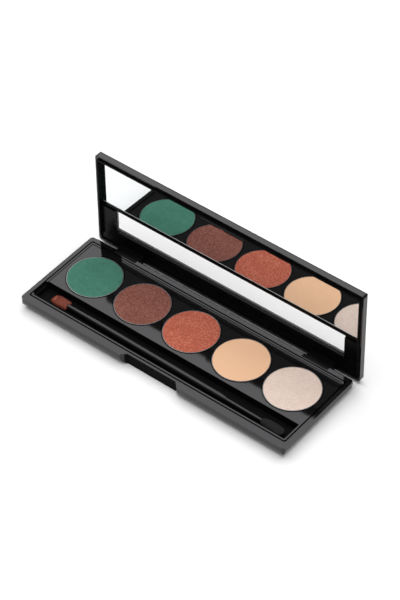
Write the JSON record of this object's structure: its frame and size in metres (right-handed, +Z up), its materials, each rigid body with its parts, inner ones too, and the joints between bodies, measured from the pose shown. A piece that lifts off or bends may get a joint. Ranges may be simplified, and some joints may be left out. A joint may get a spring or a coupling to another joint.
{
  "type": "eyeshadow palette",
  "caption": "Slim hinged eyeshadow palette with round pressed powders in a row, a lid with mirror and see-through window, and a double-ended applicator in a trough.",
  "frame": {"origin": "centre of the flat underside of the base", "axes": "+X along the long side, +Y towards the hinge, +Z up; drawn with the lid open and the applicator in its trough"},
  "size_m": [0.1484, 0.0587, 0.0526],
  "materials": {
    "case_plastic": "gloss",
    "tray_plastic": "gloss",
    "frame_plastic": "gloss",
    "pan_metal": "satin",
    "powder_green": "matte",
    "powder_brown": "shimmer",
    "powder_copper": "shimmer",
    "powder_peach": "matte",
    "powder_pearl": "pearl",
    "adhesive": "matte",
    "pin_steel": "satin",
    "mirror_glass": "polished",
    "clear_plastic": "clear",
    "handle_plastic": "gloss",
    "ferrule_plastic": "gloss",
    "bristle": "soft",
    "sponge": "matte"
  },
  "bodies": {
    "base": {"base_shell": "case_plastic", "pan_tray": "tray_plastic", "pan_green": "pan_metal", "pan_brown": "pan_metal", "pan_copper": "pan_metal", "pan_peach": "pan_metal", "pan_pearl": "pan_metal", "powder_green": "powder_green", "powder_brown": "powder_brown", "powder_copper": "powder_copper", "powder_peach": "powder_peach", "powder_pearl": "powder_pearl", "pan_adhesive": "adhesive", "hinge_pin_left": "pin_steel", "hinge_pin_right": "pin_steel"},
    "lid": {"lid_shell": "case_plastic", "lid_frame": "frame_plastic", "mirror": "mirror_glass", "mirror_tape": "adhesive", "window_pane": "clear_plastic"},
    "applicator": {"applicator_handle": "handle_plastic", "applicator_stem": "handle_plastic", "brush_ferrule": "ferrule_plastic", "brush_tuft": "bristle", "sponge_tip": "sponge"}
  },
  "joints": [
    {"name": "lid_hinge", "type": "hinge", "parent": "base", "child": "lid", "pos_m": [0, 0.025, 0.0031], "axis": [1, 0, 0], "range_deg": [0, 91.5]},
    {"name": "applicator_lift", "type": "slide", "parent": "base", "child": "applicator", "axis": [0, 0, 1], "range_m": [0, 0.032]}
  ]
}
